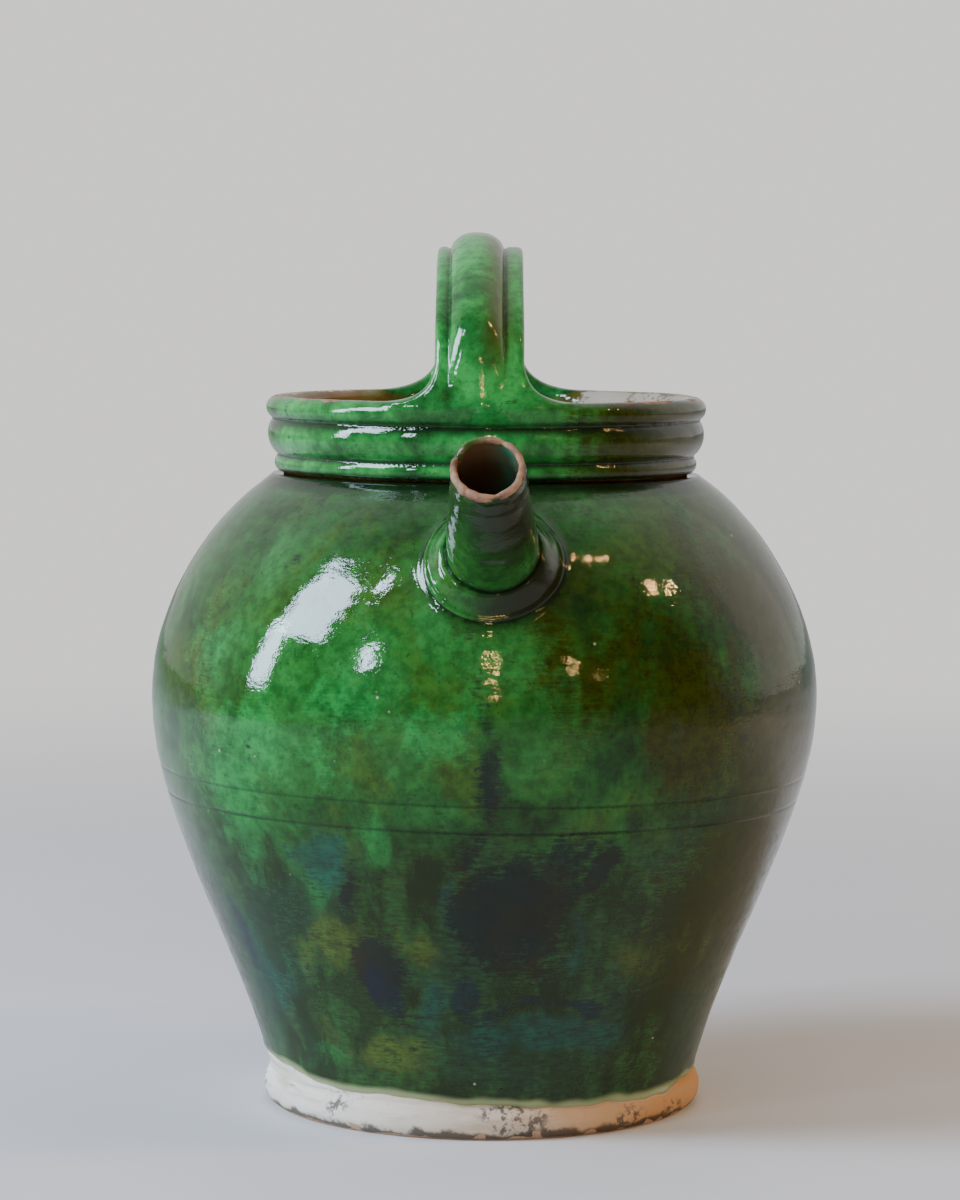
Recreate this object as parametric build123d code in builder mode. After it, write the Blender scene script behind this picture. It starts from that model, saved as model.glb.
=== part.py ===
"""Glazed earthenware water jug: a thrown jar with a grooved collar, a tapered tube spout
on the front shoulder and an overhead strap handle from the front rim to the rear rim.

Millimetres. +Z is up, the origin is the centre of the foot on the resting plane, and the
spout points to -Y. The pieces are the ones that a potter luted together before firing.
"""

from build123d import *
from math import cos, degrees, atan2, radians, sin, sqrt
import os

# ---- coats ----
glaze_thickness = 0.8
lining_thickness = 0.6
slip_thickness = 0.5

# ---- jar: heights and radii of the glazed outer face ----
clay_wall = 7.0
floor_thickness = 10.0
foot_contact_radius = 86.0
foot_radius = 89.9
foot_bead_height = 5.5
foot_neck_radius = 87.0
foot_neck_height = 13.0
belly_radius = 136.0
belly_height = 168.0
flank_height = 135.0
flank_drop = 4.7
lower_wall_height = 75.0
lower_wall_hollow = 1.9
shoulder_edge_radius = 87.0
neck_height = 257.5
floor_corner_radius = 12.0
slip_bottom = 2.0

# ---- spout: its root is a point of the shoulder, so the wall line passes through it ----
spout_root_height = 230.5
shoulder_swell = 2.9
spout_root_side = 2.9
spout_rise_angle = 36.5
spout_yaw = 2.7
spout_length = 65.0
spout_root_radius = 18.4
spout_mouth_radius = 13.8
bore_root_radius = 13.2
bore_mouth_radius = 10.8
lip_fillet = 1.2
embedment = 16.0

# ---- luting ring round the spout ----
ring_radius = 26.8
ring_height = 6.3
ring_edge_height = 1.2
ring_bulge = 1.3

# ---- collar: how far each feature stands out of its foot, and heights above the neck ----
collar_ledge = 3.8
bead_stand = 2.9
bead_height = 4.2
low_groove_stand = 2.1
low_groove_height = 7.6
band_stand = 5.8
band_height = 17.6
high_groove_stand = 4.4
high_groove_height = 22.4
roll_stand = 6.5
roll_height = 26.2
crest_stand = 2.2
crest_height = 31.9
lip_stand = -1.6
lip_height = 30.0
inner_lip_stand = -3.6
inner_lip_height = 25.0

# ---- handle: a basket arch of three tangent arcs ----
handle_side = -2.8
handle_rise = 57.0
handle_foot_stand = 0.8
handle_shoulder_radius = 40.0
root_angle = 22.0
strap_width = 34.5
flange_thickness = 8.0
left_flange_width = 4.0
right_flange_width = 6.2
rib_height = 5.8
groove_width = 1.8
groove_depth = 0.9
strap_corner = 2.2
front_root_width = 62.0
rear_root_width = 76.0
root_bottom_height = 24.0
root_cheek_drop = 4.0
root_skin = 1.5

# ---- places worked out from the sizes above ----
clay_inset = glaze_thickness
cavity_inset = glaze_thickness + clay_wall
lining_inset = cavity_inset + lining_thickness
crest_level = neck_height + crest_height
collar_radius = shoulder_edge_radius - collar_ledge
roll_radius = collar_radius + roll_stand
inner_lip_radius = collar_radius + inner_lip_stand
handle_foot_radius = collar_radius + handle_foot_stand
spout_wall_radius = (belly_radius + shoulder_edge_radius) / 2 + shoulder_swell
lower_wall_radius = (foot_neck_radius + belly_radius) / 2 - lower_wall_hollow

wall_stations = [
    (foot_neck_radius, foot_neck_height),
    (lower_wall_radius, lower_wall_height),
    (belly_radius - flank_drop, flank_height),
    (belly_radius, belly_height),
    (spout_wall_radius, spout_root_height),
    (shoulder_edge_radius, neck_height),
]


def chord_normal(index):
    """Outward normal of the wall at a station, square to the chord of its neighbours."""
    low_radius, low_height = wall_stations[max(index - 1, 0)]
    high_radius, high_height = wall_stations[min(index + 1, len(wall_stations) - 1)]
    run = high_radius - low_radius
    climb = high_height - low_height
    length = sqrt(run**2 + climb**2)
    return climb / length, -run / length


def wall_points(inset):
    """The stations of the wall line, moved inwards by inset; the top one stays on the neck plane."""
    points = []
    for index, (radius, height) in enumerate(wall_stations[:-1]):
        normal_r, normal_z = chord_normal(index)
        points.append((radius - inset * normal_r, height - inset * normal_z))
    top_normal_r = chord_normal(len(wall_stations) - 1)[0]
    points.append((shoulder_edge_radius - inset / top_normal_r, neck_height))
    return points


def foot_and_wall(inset):
    """Outer side of the clay's half section, from the foot's contact ring to the neck plane."""
    wall = wall_points(inset)
    ThreePointArc(
        (foot_contact_radius, 0),
        (foot_radius - slip_thickness, foot_bead_height),
        wall[0],
    )
    Spline(*wall)
    return wall[-1]


def cavity_side(inset):
    """Half section of the hollow's face, from the neck plane down to the middle of the floor."""
    wall = wall_points(inset)
    floor = floor_thickness + inset - cavity_inset
    floor_edge = (wall[0][0] - floor_corner_radius, floor)
    wall_line = Spline(*wall)
    Spline(floor_edge, wall[0], tangents=[(1, 0), wall_line % 0])
    Line(floor_edge, (0, floor))
    return wall[-1], (0, floor)


# The jar as one full lump of clay: the pieces that stand on it are cut to its face.
with BuildPart() as clay_lump:
    with BuildSketch(Plane.XZ):
        with BuildLine():
            clay_top = foot_and_wall(clay_inset)
            Polyline(clay_top, (0, neck_height), (0, 0), (foot_contact_radius, 0))
        make_face()
    revolve(axis=Axis.Z)

# The spout's axis leaves the shoulder upwards and a little sideways.
spout_flat = cos(radians(spout_rise_angle))
spout_direction = Vector(
    -sin(radians(spout_yaw)) * spout_flat,
    -cos(radians(spout_yaw)) * spout_flat,
    sin(radians(spout_rise_angle)),
)
spout_root = Vector(spout_root_side, -spout_wall_radius, spout_root_height)
spout_axis = Axis(spout_root, spout_direction)
spout_across = spout_direction.cross(Vector(0, 0, 1)).normalized()
spout_section = Plane(
    origin=spout_root,
    x_dir=spout_direction.cross(spout_across),
    z_dir=spout_across,
)
taper = (spout_root_radius - spout_mouth_radius) / spout_length
bore_taper = (bore_root_radius - bore_mouth_radius) / spout_length

# The spout as a full cone, sunk into the jar.
with BuildPart() as spout_cone:
    with BuildSketch(spout_section):
        with BuildLine():
            Polyline(
                (0, -embedment),
                (spout_root_radius + taper * embedment, -embedment),
                (spout_mouth_radius, spout_length),
                (0, spout_length),
                close=True,
            )
        make_face()
    revolve(axis=spout_axis)

# The pouring bore, through the spout and on through the jar's wall.
bore_reach = embedment + clay_wall
with BuildPart() as spout_bore:
    with BuildSketch(spout_section):
        with BuildLine():
            Polyline(
                (0, -bore_reach),
                (bore_root_radius, -bore_reach),
                (bore_root_radius, 0),
                (bore_mouth_radius - bore_taper, spout_length + 1),
                (0, spout_length + 1),
                close=True,
            )
        make_face()
    revolve(axis=spout_axis)

# The luting ring as a full disc with a sloping, slightly swollen top.
with BuildPart() as ring_disc:
    with BuildSketch(spout_section):
        with BuildLine():
            slope_middle = (
                (ring_radius + spout_root_radius) / 2 + ring_bulge,
                (ring_height + ring_edge_height) / 2 + ring_bulge,
            )
            ThreePointArc(
                (ring_radius, ring_edge_height),
                slope_middle,
                (spout_root_radius - taper * ring_height, ring_height),
            )
            Polyline(
                (spout_root_radius - taper * ring_height, ring_height),
                (0, ring_height),
                (0, -embedment),
                (ring_radius, -embedment),
                (ring_radius, ring_edge_height),
            )
        make_face()
    revolve(axis=spout_axis)

# ---- jar body ----
with BuildPart() as jar_body:
    with BuildSketch(Plane.XZ):
        with BuildLine():
            clay_top = foot_and_wall(clay_inset)
            hollow_top, hollow_floor = cavity_side(cavity_inset)
            Line(clay_top, hollow_top)
            Polyline(hollow_floor, (0, 0), (foot_contact_radius, 0))
        make_face()
    revolve(axis=Axis.Z)
    add(spout_bore.part, mode=Mode.SUBTRACT)

# ---- inner glaze: the lining of the hollow ----
with BuildPart() as inner_glaze:
    with BuildSketch(Plane.XZ):
        with BuildLine():
            hollow_top, hollow_floor = cavity_side(cavity_inset)
            lining_top, lining_floor = cavity_side(lining_inset)
            Line(hollow_top, lining_top)
            Line(hollow_floor, lining_floor)
        make_face()
    revolve(axis=Axis.Z)
    add(spout_bore.part, mode=Mode.SUBTRACT)

# ---- outer glaze: a coat over the jar that goes round the luting ring ----
with BuildPart() as outer_glaze:
    with BuildSketch(Plane.XZ):
        with BuildLine():
            clay_face = Spline(*wall_points(clay_inset))
            glaze_face = Spline(*wall_points(0))
            Line(clay_face @ 0, glaze_face @ 0)
            Line(clay_face @ 1, glaze_face @ 1)
        make_face()
    revolve(axis=Axis.Z)
    add(ring_disc.part, mode=Mode.SUBTRACT)
    add(spout_cone.part, mode=Mode.SUBTRACT)

# ---- foot slip: a wash on the bare foot band, below the glaze ----
with BuildPart() as foot_slip:
    with BuildSketch(Plane.XZ):
        with BuildLine():
            foot_bead = ThreePointArc(
                (foot_contact_radius + slip_thickness, 0),
                (foot_radius, foot_bead_height),
                (foot_neck_radius - glaze_thickness + slip_thickness, foot_neck_height),
            )
            Polyline(foot_bead @ 1, (0, foot_neck_height), (0, 0), foot_bead @ 0)
        make_face()
        with Locations((0, slip_bottom)):
            Rectangle(
                foot_radius + slip_thickness,
                foot_neck_height - slip_bottom,
                align=(Align.MIN, Align.MIN),
                mode=Mode.INTERSECT,
            )
    revolve(axis=Axis.Z)
    add(clay_lump.part, mode=Mode.SUBTRACT)
    add(outer_glaze.part, mode=Mode.SUBTRACT)

# ---- spout tube and its luting ring ----
with BuildPart() as spout_tube:
    add(spout_cone.part)
    add(spout_bore.part, mode=Mode.SUBTRACT)
    mouth_edges = spout_tube.edges().filter_by(GeomType.CIRCLE).group_by(spout_axis)[-1]
    fillet(mouth_edges, radius=lip_fillet)
    add(clay_lump.part, mode=Mode.SUBTRACT)

with BuildPart() as spout_luting_ring:
    add(ring_disc.part)
    add(spout_cone.part, mode=Mode.SUBTRACT)
    add(clay_lump.part, mode=Mode.SUBTRACT)

# ---- rim collar: bead, groove, broad band, groove and rolled rim ----
collar_bore_radius = wall_points(cavity_inset)[-1][0]


def collar_point(stand, height):
    """A point of the collar's half section, from its stand-out and height above the neck."""
    return collar_radius + stand, neck_height + height


with BuildPart() as rim_collar:
    with BuildSketch(Plane.XZ):
        with BuildLine():
            bead = ThreePointArc(
                collar_point(0, 0),
                collar_point(bead_stand, bead_height),
                collar_point(low_groove_stand, low_groove_height),
            )
            band = ThreePointArc(
                bead @ 1,
                collar_point(band_stand, band_height),
                collar_point(high_groove_stand, high_groove_height),
            )
            roll = ThreePointArc(
                band @ 1,
                collar_point(roll_stand, roll_height),
                collar_point(crest_stand, crest_height),
            )
            lip = ThreePointArc(
                roll @ 1,
                collar_point(lip_stand, lip_height),
                collar_point(inner_lip_stand, inner_lip_height),
            )
            Polyline(lip @ 1, (collar_bore_radius, neck_height), bead @ 0)
        make_face()
    revolve(axis=Axis.Z)

# ---- handle ----
# The arch runs over the mouth in the plane x = handle_side, as a crown arc between two
# shoulder arcs, all tangent. The crown's radius follows from the span and the rise.
shoulder_centre_y = handle_foot_radius - handle_shoulder_radius
crown_radius = (
    shoulder_centre_y**2 + handle_rise**2 - handle_shoulder_radius**2
) / (2 * (handle_rise - handle_shoulder_radius))
crown_centre_level = crest_level + handle_rise - crown_radius
crown_half_angle = degrees(atan2(shoulder_centre_y, crest_level - crown_centre_level))
shoulder_sweep = 90 - root_angle - crown_half_angle
arch_plane = Plane.YZ.offset(handle_side)


def strap_outline():
    """Section of the strap, outer face upwards: a broad rib between two flanges.

    Seen from the front of the jug, the section's +X is on the left.
    """
    half_width = strap_width / 2
    half_flange = flange_thickness / 2
    rib_foot = half_flange + rib_height * 0.35
    rib_left = half_width - left_flange_width - groove_width
    rib_right = right_flange_width + groove_width - half_width
    ThreePointArc(
        (rib_right, rib_foot),
        ((rib_left + rib_right) / 2, half_flange + rib_height),
        (rib_left, rib_foot),
    )
    for side, rib_edge in ((-1, rib_right), (1, rib_left)):
        Polyline(
            (rib_edge, rib_foot),
            (rib_edge + side * groove_width / 2, half_flange - groove_depth),
            (rib_edge + side * groove_width, half_flange),
            (side * (half_width - strap_corner), half_flange),
        )
        ThreePointArc(
            (side * (half_width - strap_corner), half_flange),
            (side * half_width, 0),
            (side * (half_width - strap_corner), -half_flange),
        )
    Line(
        (-half_width + strap_corner, -half_flange),
        (half_width - strap_corner, -half_flange),
    )


def section_plane(path):
    """Plane of the strap's section at the start of its path, with the rib facing outwards."""
    return Plane(origin=path @ 0, x_dir=(-1, 0, 0), z_dir=path % 0)


with BuildPart() as handle_strap:
    with BuildLine(arch_plane) as arch:
        CenterArc(
            (-shoulder_centre_y, crest_level),
            handle_shoulder_radius,
            180 - root_angle,
            -shoulder_sweep,
        )
        CenterArc(
            (0, crown_centre_level),
            crown_radius,
            90 + crown_half_angle,
            -2 * crown_half_angle,
        )
        CenterArc(
            (shoulder_centre_y, crest_level),
            handle_shoulder_radius,
            90 - crown_half_angle,
            -shoulder_sweep,
        )
    with BuildSketch(section_plane(arch.line)):
        with BuildLine():
            strap_outline()
        make_face()
    sweep(path=arch.line)


def handle_root(root_width):
    """A front root: the end of the strap with clay worked out over the rim on both sides."""
    half_strap = strap_width / 2
    half_root = root_width / 2
    bottom = neck_height + root_bottom_height
    top = crest_level + handle_shoulder_radius * sin(radians(root_angle))
    with BuildPart() as webs:
        with BuildSketch(Plane.XZ.offset(inner_lip_radius / 2)):
            with Locations((handle_side, 0)):
                with BuildLine():
                    for side in (-1, 1):
                        web = Spline(
                            (side * half_strap, top),
                            (side * half_root, crest_level),
                            tangents=[(0, -1), (side, 0)],
                        )
                        Polyline(
                            web @ 1,
                            (side * half_root, crest_level - root_cheek_drop),
                            (side * half_strap, bottom),
                        )
                    Line((-half_strap, bottom), (half_strap, bottom))
                    Line((-half_strap, top), (half_strap, top))
                make_face()
        extrude(amount=roll_radius)
        with BuildSketch():
            Circle(roll_radius + root_skin)
            Circle(inner_lip_radius - root_skin, mode=Mode.SUBTRACT)
        extrude(amount=top + strap_width, mode=Mode.INTERSECT)
    with BuildPart() as root:
        with BuildLine(arch_plane) as lower_arch:
            Line((-handle_foot_radius, bottom), (-handle_foot_radius, crest_level))
            CenterArc(
                (-shoulder_centre_y, crest_level),
                handle_shoulder_radius,
                180,
                -root_angle,
            )
        with BuildSketch(section_plane(lower_arch.line)):
            with BuildLine():
                strap_outline()
            make_face()
        sweep(path=lower_arch.line)
        add(webs.part)
        add(handle_strap.part, mode=Mode.SUBTRACT)
        add(rim_collar.part, mode=Mode.SUBTRACT)
    return root.part


with BuildPart() as handle_front_root:
    add(handle_root(front_root_width))

rear_root_shape = handle_root(rear_root_width)
with BuildPart() as handle_rear_root:
    mirror(rear_root_shape, about=Plane.XZ)

# ---- write the pieces ----
os.makedirs("parts", exist_ok=True)
pieces = {
    "jar_body": jar_body,
    "outer_glaze": outer_glaze,
    "inner_glaze": inner_glaze,
    "foot_slip": foot_slip,
    "rim_collar": rim_collar,
    "spout_tube": spout_tube,
    "spout_luting_ring": spout_luting_ring,
    "handle_strap": handle_strap,
    "handle_front_root": handle_front_root,
    "handle_rear_root": handle_rear_root,
}
for name, piece in pieces.items():
    piece.part.label = name
    export_step(piece.part, f"parts/{name}.step")
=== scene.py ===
"""Looks of the glazed earthenware water jug.

The thrown jar, its collar, the strap handle and the tube spout are rebuilt as fine closed
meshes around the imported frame, with the marks of the wheel, the worn lips, the glaze that
stops short of the foot and the cream slip below it. Lengths in the mesh code are in
millimetres and are turned into metres when a mesh is made.
"""
import math

import bpy
import numpy as np
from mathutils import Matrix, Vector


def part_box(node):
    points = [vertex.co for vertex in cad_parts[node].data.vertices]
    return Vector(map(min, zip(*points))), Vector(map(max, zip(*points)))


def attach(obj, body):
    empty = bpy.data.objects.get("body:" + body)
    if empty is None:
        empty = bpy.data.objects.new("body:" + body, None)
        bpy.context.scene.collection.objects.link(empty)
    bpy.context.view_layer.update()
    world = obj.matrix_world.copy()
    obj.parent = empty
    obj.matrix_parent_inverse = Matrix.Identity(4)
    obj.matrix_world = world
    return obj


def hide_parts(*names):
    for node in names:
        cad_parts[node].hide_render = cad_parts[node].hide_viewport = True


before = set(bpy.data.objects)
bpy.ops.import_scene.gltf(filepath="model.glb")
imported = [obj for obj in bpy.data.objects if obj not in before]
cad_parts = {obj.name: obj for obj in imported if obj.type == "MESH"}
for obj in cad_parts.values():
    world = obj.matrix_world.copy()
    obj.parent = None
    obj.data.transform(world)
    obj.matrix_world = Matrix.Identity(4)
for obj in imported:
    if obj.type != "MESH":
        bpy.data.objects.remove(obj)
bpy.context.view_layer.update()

import openvdb
from mathutils import Vector

MM = 0.001


# ---------------------------------------------------------------- places from the frame
def node_box(name):
    """Lowest and highest corner of a CAD node, in millimetres."""
    low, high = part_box(name)
    return np.array(low) / MM, np.array(high) / MM


glaze_low, glaze_high = node_box("outer_glaze")
collar_low, collar_high = node_box("rim_collar")
strap_low, strap_high = node_box("handle_strap")
_, slip_high = node_box("foot_slip")

neck_z = collar_low[2]
crest_z = collar_high[2]
roll_radius = collar_high[0]
foot_radius = slip_high[0]
foot_neck_z = glaze_low[2]

# Spout, as in the CAD: where its axis leaves the shoulder, and which way it goes.
SPOUT_ROOT = np.array([2.9, -114.4, 230.5])
SPOUT_RISE = math.radians(36.5)
SPOUT_YAW = math.radians(2.7)
SPOUT_LENGTH = 65.0
SPOUT_RADII = (18.4, 13.8)
BORE_RADII = (13.2, 10.8)
RING_RADIUS = 26.8
RING_HEIGHT = 6.3

# Handle, as in the CAD: a crown arc between two shoulder arcs.
HANDLE_SHOULDER_RADIUS = 40.0
STRAP_HALF_WIDTH = (strap_high[0] - strap_low[0]) / 2
HANDLE_X = (strap_high[0] + strap_low[0]) / 2
FLANGE_HALF = 4.0
RIB_HEIGHT = 5.8
RIB_MIDDLE = -1.1
RIB_HALF_WIDTH = 10.6


def sampled_wall():
    """The glazed wall's radius over height, as one smooth polynomial through the CAD mesh."""
    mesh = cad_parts["outer_glaze"].data
    points = np.empty(len(mesh.vertices) * 3)
    mesh.vertices.foreach_get("co", points)
    points = points.reshape(-1, 3) / MM
    away = np.hypot(points[:, 0], points[:, 1])
    keep = points[:, 1] > 0
    heights, radii = points[keep, 2], away[keep]
    outer_z, outer_r = [], []
    step = 3.0
    for low in np.arange(glaze_low[2], glaze_high[2], step):
        inside = (heights >= low) & (heights < low + step)
        if inside.any():
            best = np.argmax(radii[inside])
            outer_z.append(heights[inside][best])
            outer_r.append(radii[inside][best])
    return np.polynomial.Polynomial.fit(outer_z, outer_r, 9)


wall_fit = sampled_wall()


# ---------------------------------------------------------------- small tools
def smoothstep(low, high, value):
    part = np.clip((value - low) / (high - low), 0, 1)
    return part * part * (3 - 2 * part)


def smooth_min(a, b, reach):
    mix = np.clip(0.5 + 0.5 * (b - a) / reach, 0, 1)
    return b + (a - b) * mix - reach * mix * (1 - mix)


def smooth_max(a, b, reach):
    return -smooth_min(-a, -b, reach)


def hump(value, centre, width):
    return np.exp(-(((value - centre) / width) ** 2))


def turn_from(place, turn):
    """The turn left from one angle to another, from minus half a turn to half a turn."""
    return np.angle(np.exp(1j * (turn - place)))


def lumps(points, size, seed):
    """Smooth random values from -1 to 1 with features about size across; size may be a triple."""
    lattice = np.random.default_rng(seed).uniform(-1, 1, (32, 32, 32))
    scaled = np.asarray(points, float) / np.asarray(size, float)
    cell = np.floor(scaled).astype(int)
    part = scaled - cell
    part = part * part * (3 - 2 * part)
    total = np.zeros(scaled.shape[:-1])
    for corner in np.ndindex(2, 2, 2):
        weight = np.ones_like(total)
        index = []
        for axis in range(3):
            near = part[..., axis]
            weight = weight * (near if corner[axis] else 1 - near)
            index.append((cell[..., axis] + corner[axis]) % 32)
        total += weight * lattice[tuple(index)]
    return total


def periodic(angle, knots):
    """A smooth closed curve through a few (degrees, value) knots."""
    degrees = np.array([k[0] for k in knots], float)
    values = np.array([k[1] for k in knots], float)
    degrees = np.concatenate([degrees - 360, degrees, degrees + 360])
    values = np.concatenate([values, values, values])
    turn = np.degrees(angle)
    index = np.clip(np.searchsorted(degrees, turn) - 1, 1, len(degrees) - 3)
    span = degrees[index + 1] - degrees[index]
    part = (turn - degrees[index]) / span
    v0, v1, v2, v3 = (values[index + k] for k in (-1, 0, 1, 2))
    slope1 = (v2 - v0) / (degrees[index + 1] - degrees[index - 1]) * span
    slope2 = (v3 - v1) / (degrees[index + 2] - degrees[index]) * span
    part2, part3 = part**2, part**3
    return (
        v1 * (2 * part3 - 3 * part2 + 1)
        + slope1 * (part3 - 2 * part2 + part)
        + v2 * (3 * part2 - 2 * part3)
        + slope2 * (part3 - part2)
    )


def facing_out(points, faces):
    """The quads of a closed mesh, turned so that all of them look outwards."""
    first, second, third, fourth = points[faces].swapaxes(0, 1)
    volume = (first * (np.cross(second, third) + np.cross(third, fourth))).sum()
    return (faces if volume > 0 else faces[:, ::-1]).tolist()


def make_piece(name, points, faces, marks, material, nodes):
    """A mesh object in metres, riding on the root body, with its marks as attributes."""
    points = points.reshape(-1, 3)
    mesh = bpy.data.meshes.new(name)
    mesh.from_pydata((points * MM).tolist(), [], facing_out(points, faces))
    mesh.validate()
    for mark, values in marks.items():
        layer = mesh.attributes.new(mark, "FLOAT", "POINT")
        layer.data.foreach_set("value", np.asarray(values, np.float32).ravel())
    mesh.shade_smooth()
    mesh.materials.append(material)
    piece = bpy.data.objects.new(name, mesh)
    bpy.context.scene.collection.objects.link(piece)
    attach(piece, "root")
    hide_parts(*nodes)
    return piece


def closed_grid(points):
    """Quads of a grid that closes on itself both ways, as a ring of any section does."""
    rows, columns = points.shape[:2]
    row = np.arange(rows)[:, None]
    column = np.arange(columns)[None, :]
    next_row = (row + 1) % rows
    next_column = (column + 1) % columns
    here, ahead = row * columns, next_row * columns
    corners = [here + column, here + next_column, ahead + next_column, ahead + column]
    return np.stack(corners, axis=-1).reshape(-1, 4)


def over_columns(values, columns):
    """A grid in which each row holds one of the values."""
    return np.repeat(values[:, None], columns, axis=1)


def over_rows(values, rows):
    """A grid in which each column holds one of the values."""
    return np.repeat(values[None, :], rows, axis=0)


def on_outer(values, inner):
    """A mark with values on the outer face, and with none on the inner face below it."""
    return np.vstack([values, np.zeros(inner.shape[:2])])


# ---------------------------------------------------------------- shape of the jar
FOOT_CONTACT_RADIUS = 86.0
FOOT_BEAD_Z = 5.5
FOOT_NECK_RADIUS = float(wall_fit(foot_neck_z))


def circle_through(start, middle, end):
    """Centre and radius of the circle through three (radius, height) points."""
    (r1, z1), (r2, z2), (r3, z3) = start, middle, end
    system = [[2 * (r2 - r1), 2 * (z2 - z1)], [2 * (r3 - r1), 2 * (z3 - z1)]]
    squares = [r2**2 + z2**2 - r1**2 - z1**2, r3**2 + z3**2 - r1**2 - z1**2]
    centre_r, centre_z = np.linalg.solve(system, squares)
    return centre_r, centre_z, math.hypot(r1 - centre_r, z1 - centre_z)


def foot_bead(height):
    """Radius of the foot's round edge: the circle through its contact, widest and neck points."""
    points = ((FOOT_CONTACT_RADIUS, 0), (foot_radius, FOOT_BEAD_Z), (FOOT_NECK_RADIUS, foot_neck_z))
    centre_r, centre_z, radius = circle_through(*points)
    inside = np.maximum(radius**2 - (height - centre_z) ** 2, 0)
    return centre_r + np.sqrt(inside)


def jar_radius(height):
    """Radius of the glazed face at any height, foot included."""
    height = np.asarray(height, float)
    wall = wall_fit(np.clip(height, foot_neck_z - 6, neck_z))
    return np.where(height > foot_neck_z + 14, wall, smooth_max(wall, foot_bead(height), 1.2))


def ring_points(angle, height, radius):
    """Points round the jar's axis; angle 0 is the front and grows towards +X."""
    return np.stack([radius * np.sin(angle), -radius * np.cos(angle), height + 0 * radius], axis=-1)


def columns_round(count, squeeze):
    """Angles round the jar, closer together at the front, where the spout stands."""
    even = np.linspace(-math.pi, math.pi, count, endpoint=False)
    return even - squeeze * np.sin(even)


SPOUT_AXIS = np.array([-math.sin(SPOUT_YAW), -math.cos(SPOUT_YAW), math.tan(SPOUT_RISE)])
SPOUT_AXIS = SPOUT_AXIS * math.cos(SPOUT_RISE)
SPOUT_SIDE = np.cross(SPOUT_AXIS, [0, 0, 1])
SPOUT_SIDE = -SPOUT_SIDE / np.linalg.norm(SPOUT_SIDE)
SPOUT_UP = np.cross(SPOUT_AXIS, SPOUT_SIDE)


def beside_spout(points):
    """Distance along the spout's axis, and distance from it."""
    offset = points - SPOUT_ROOT
    along = offset @ SPOUT_AXIS
    return along, np.linalg.norm(offset - along[..., None] * SPOUT_AXIS, axis=-1)


def ring_outline(turn):
    """Outer radius of the luting ring, uneven as thumbed clay is."""
    return RING_RADIUS * (1 + 0.018 * np.sin(2 * turn + 0.6) + 0.012 * np.sin(3 * turn + 2.0))


# Incised lines: height, tilt to the left, depth and width.
BELLY_LINES = ((138.3, 1.3, 0.36, 0.55), (127.8, 1.0, 0.5, 0.6))
SHOULDER_LINE = (253.2, 0.2, 0.2, 0.7)

# What the fire did to the glaze: patches by angle round the jar, height, half width, half
# height and strength. The front follows the real jug, and the back is in the same manner.
FIRE_PATCHES = {
    "dark": (
        (6, 95, 22, 26, 1.0), (3, 74, 18, 14, 0.7), (13, 117, 15, 13, 0.7), (1, 150, 7, 26, 0.7),
        (-24, 98, 5, 12, 0.8), (-21, 64, 8, 17, 0.85), (21, 110, 8, 16, 0.8), (15, 68, 12, 8, 0.7),
        (-3, 120, 11, 13, 0.7), (118, 84, 24, 24, 0.9), (190, 70, 30, 20, 0.8), (236, 104, 12, 22, 0.8),
        (160, 112, 9, 24, 0.7), (-90, 60, 12, 14, 0.6), (92, 60, 18, 10, 0.7), (214, 150, 7, 24, 0.6),
    ),
    "teal": (
        (21, 43, 36, 8, 0.95), (2, 46, 16, 9, 0.8), (-13, 54, 9, 12, 0.6), (19, 80, 5, 17, 0.7),
        (-31, 113, 13, 13, 0.7), (-55, 62, 20, 20, 0.7), (-6, 100, 6, 15, 0.6), (-72, 105, 16, 20, 0.5),
        (105, 46, 34, 9, 0.8), (176, 100, 14, 22, 0.6), (205, 44, 30, 9, 0.8), (250, 70, 12, 20, 0.6),
    ),
    "navy": (
        (-5, 59, 7, 7, 0.95), (17, 55, 33, 3.5, 0.85), (-21, 56, 5, 9, 0.95), (-8, 99, 6, 6, 0.6),
        (-60, 72, 13, 15, 0.6), (128, 60, 22, 5, 0.8), (198, 58, 18, 5, 0.8), (240, 88, 7, 9, 0.7),
    ),
    "lime": (
        (-30, 79, 18, 12, 0.8), (-13, 76, 8, 9, 0.75), (-24, 33, 14, 6, 0.9), (-42, 42, 10, 8, 0.5),
        (12, 86, 6, 8, 0.5), (39, 74, 22, 14, 0.6), (-12, 108, 9, 8, 0.6), (100, 96, 16, 12, 0.6),
        (150, 40, 18, 7, 0.8), (220, 80, 14, 12, 0.7), (180, 128, 16, 10, 0.5),
    ),
    "emerald": (
        (-48, 138, 15, 16, 1.0), (-43, 165, 20, 16, 0.9), (-7, 166, 19, 12, 0.9), (-25, 172, 17, 14, 0.8),
        (-19, 121, 4, 12, 0.8), (-55, 196, 16, 20, 0.6), (-34, 100, 14, 12, 0.5), (-30, 150, 10, 9, 0.6),
        (-50, 112, 12, 14, 0.7), (140, 170, 26, 22, 0.8), (205, 185, 22, 20, 0.7), (245, 150, 18, 20, 0.8),
        (100, 190, 16, 16, 0.5), (-85, 165, 18, 24, 0.7), (-44, 32, 14, 6, 0.6),
    ),
    "olive": (
        (25, 190, 40, 30, 0.85), (36, 160, 30, 26, 0.95), (62, 130, 44, 70, 0.95), (45, 80, 30, 40, 0.85),
        (12, 210, 16, 16, 0.6), (60, 215, 44, 36, 0.95), (90, 150, 40, 50, 0.7), (-62, 225, 30, 12, 0.4),
        (170, 215, 40, 24, 0.6), (225, 120, 24, 20, 0.5),
    ),
}
GLAZE_EDGE = (
    (-90, 22.5), (-60, 19.4), (-37, 15.7), (-20, 16.2), (-2, 14.0), (20, 12.6),
    (52, 11.6), (72, 13.4), (110, 15.5), (150, 18.5), (195, 16.0), (235, 20.5),
)


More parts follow.
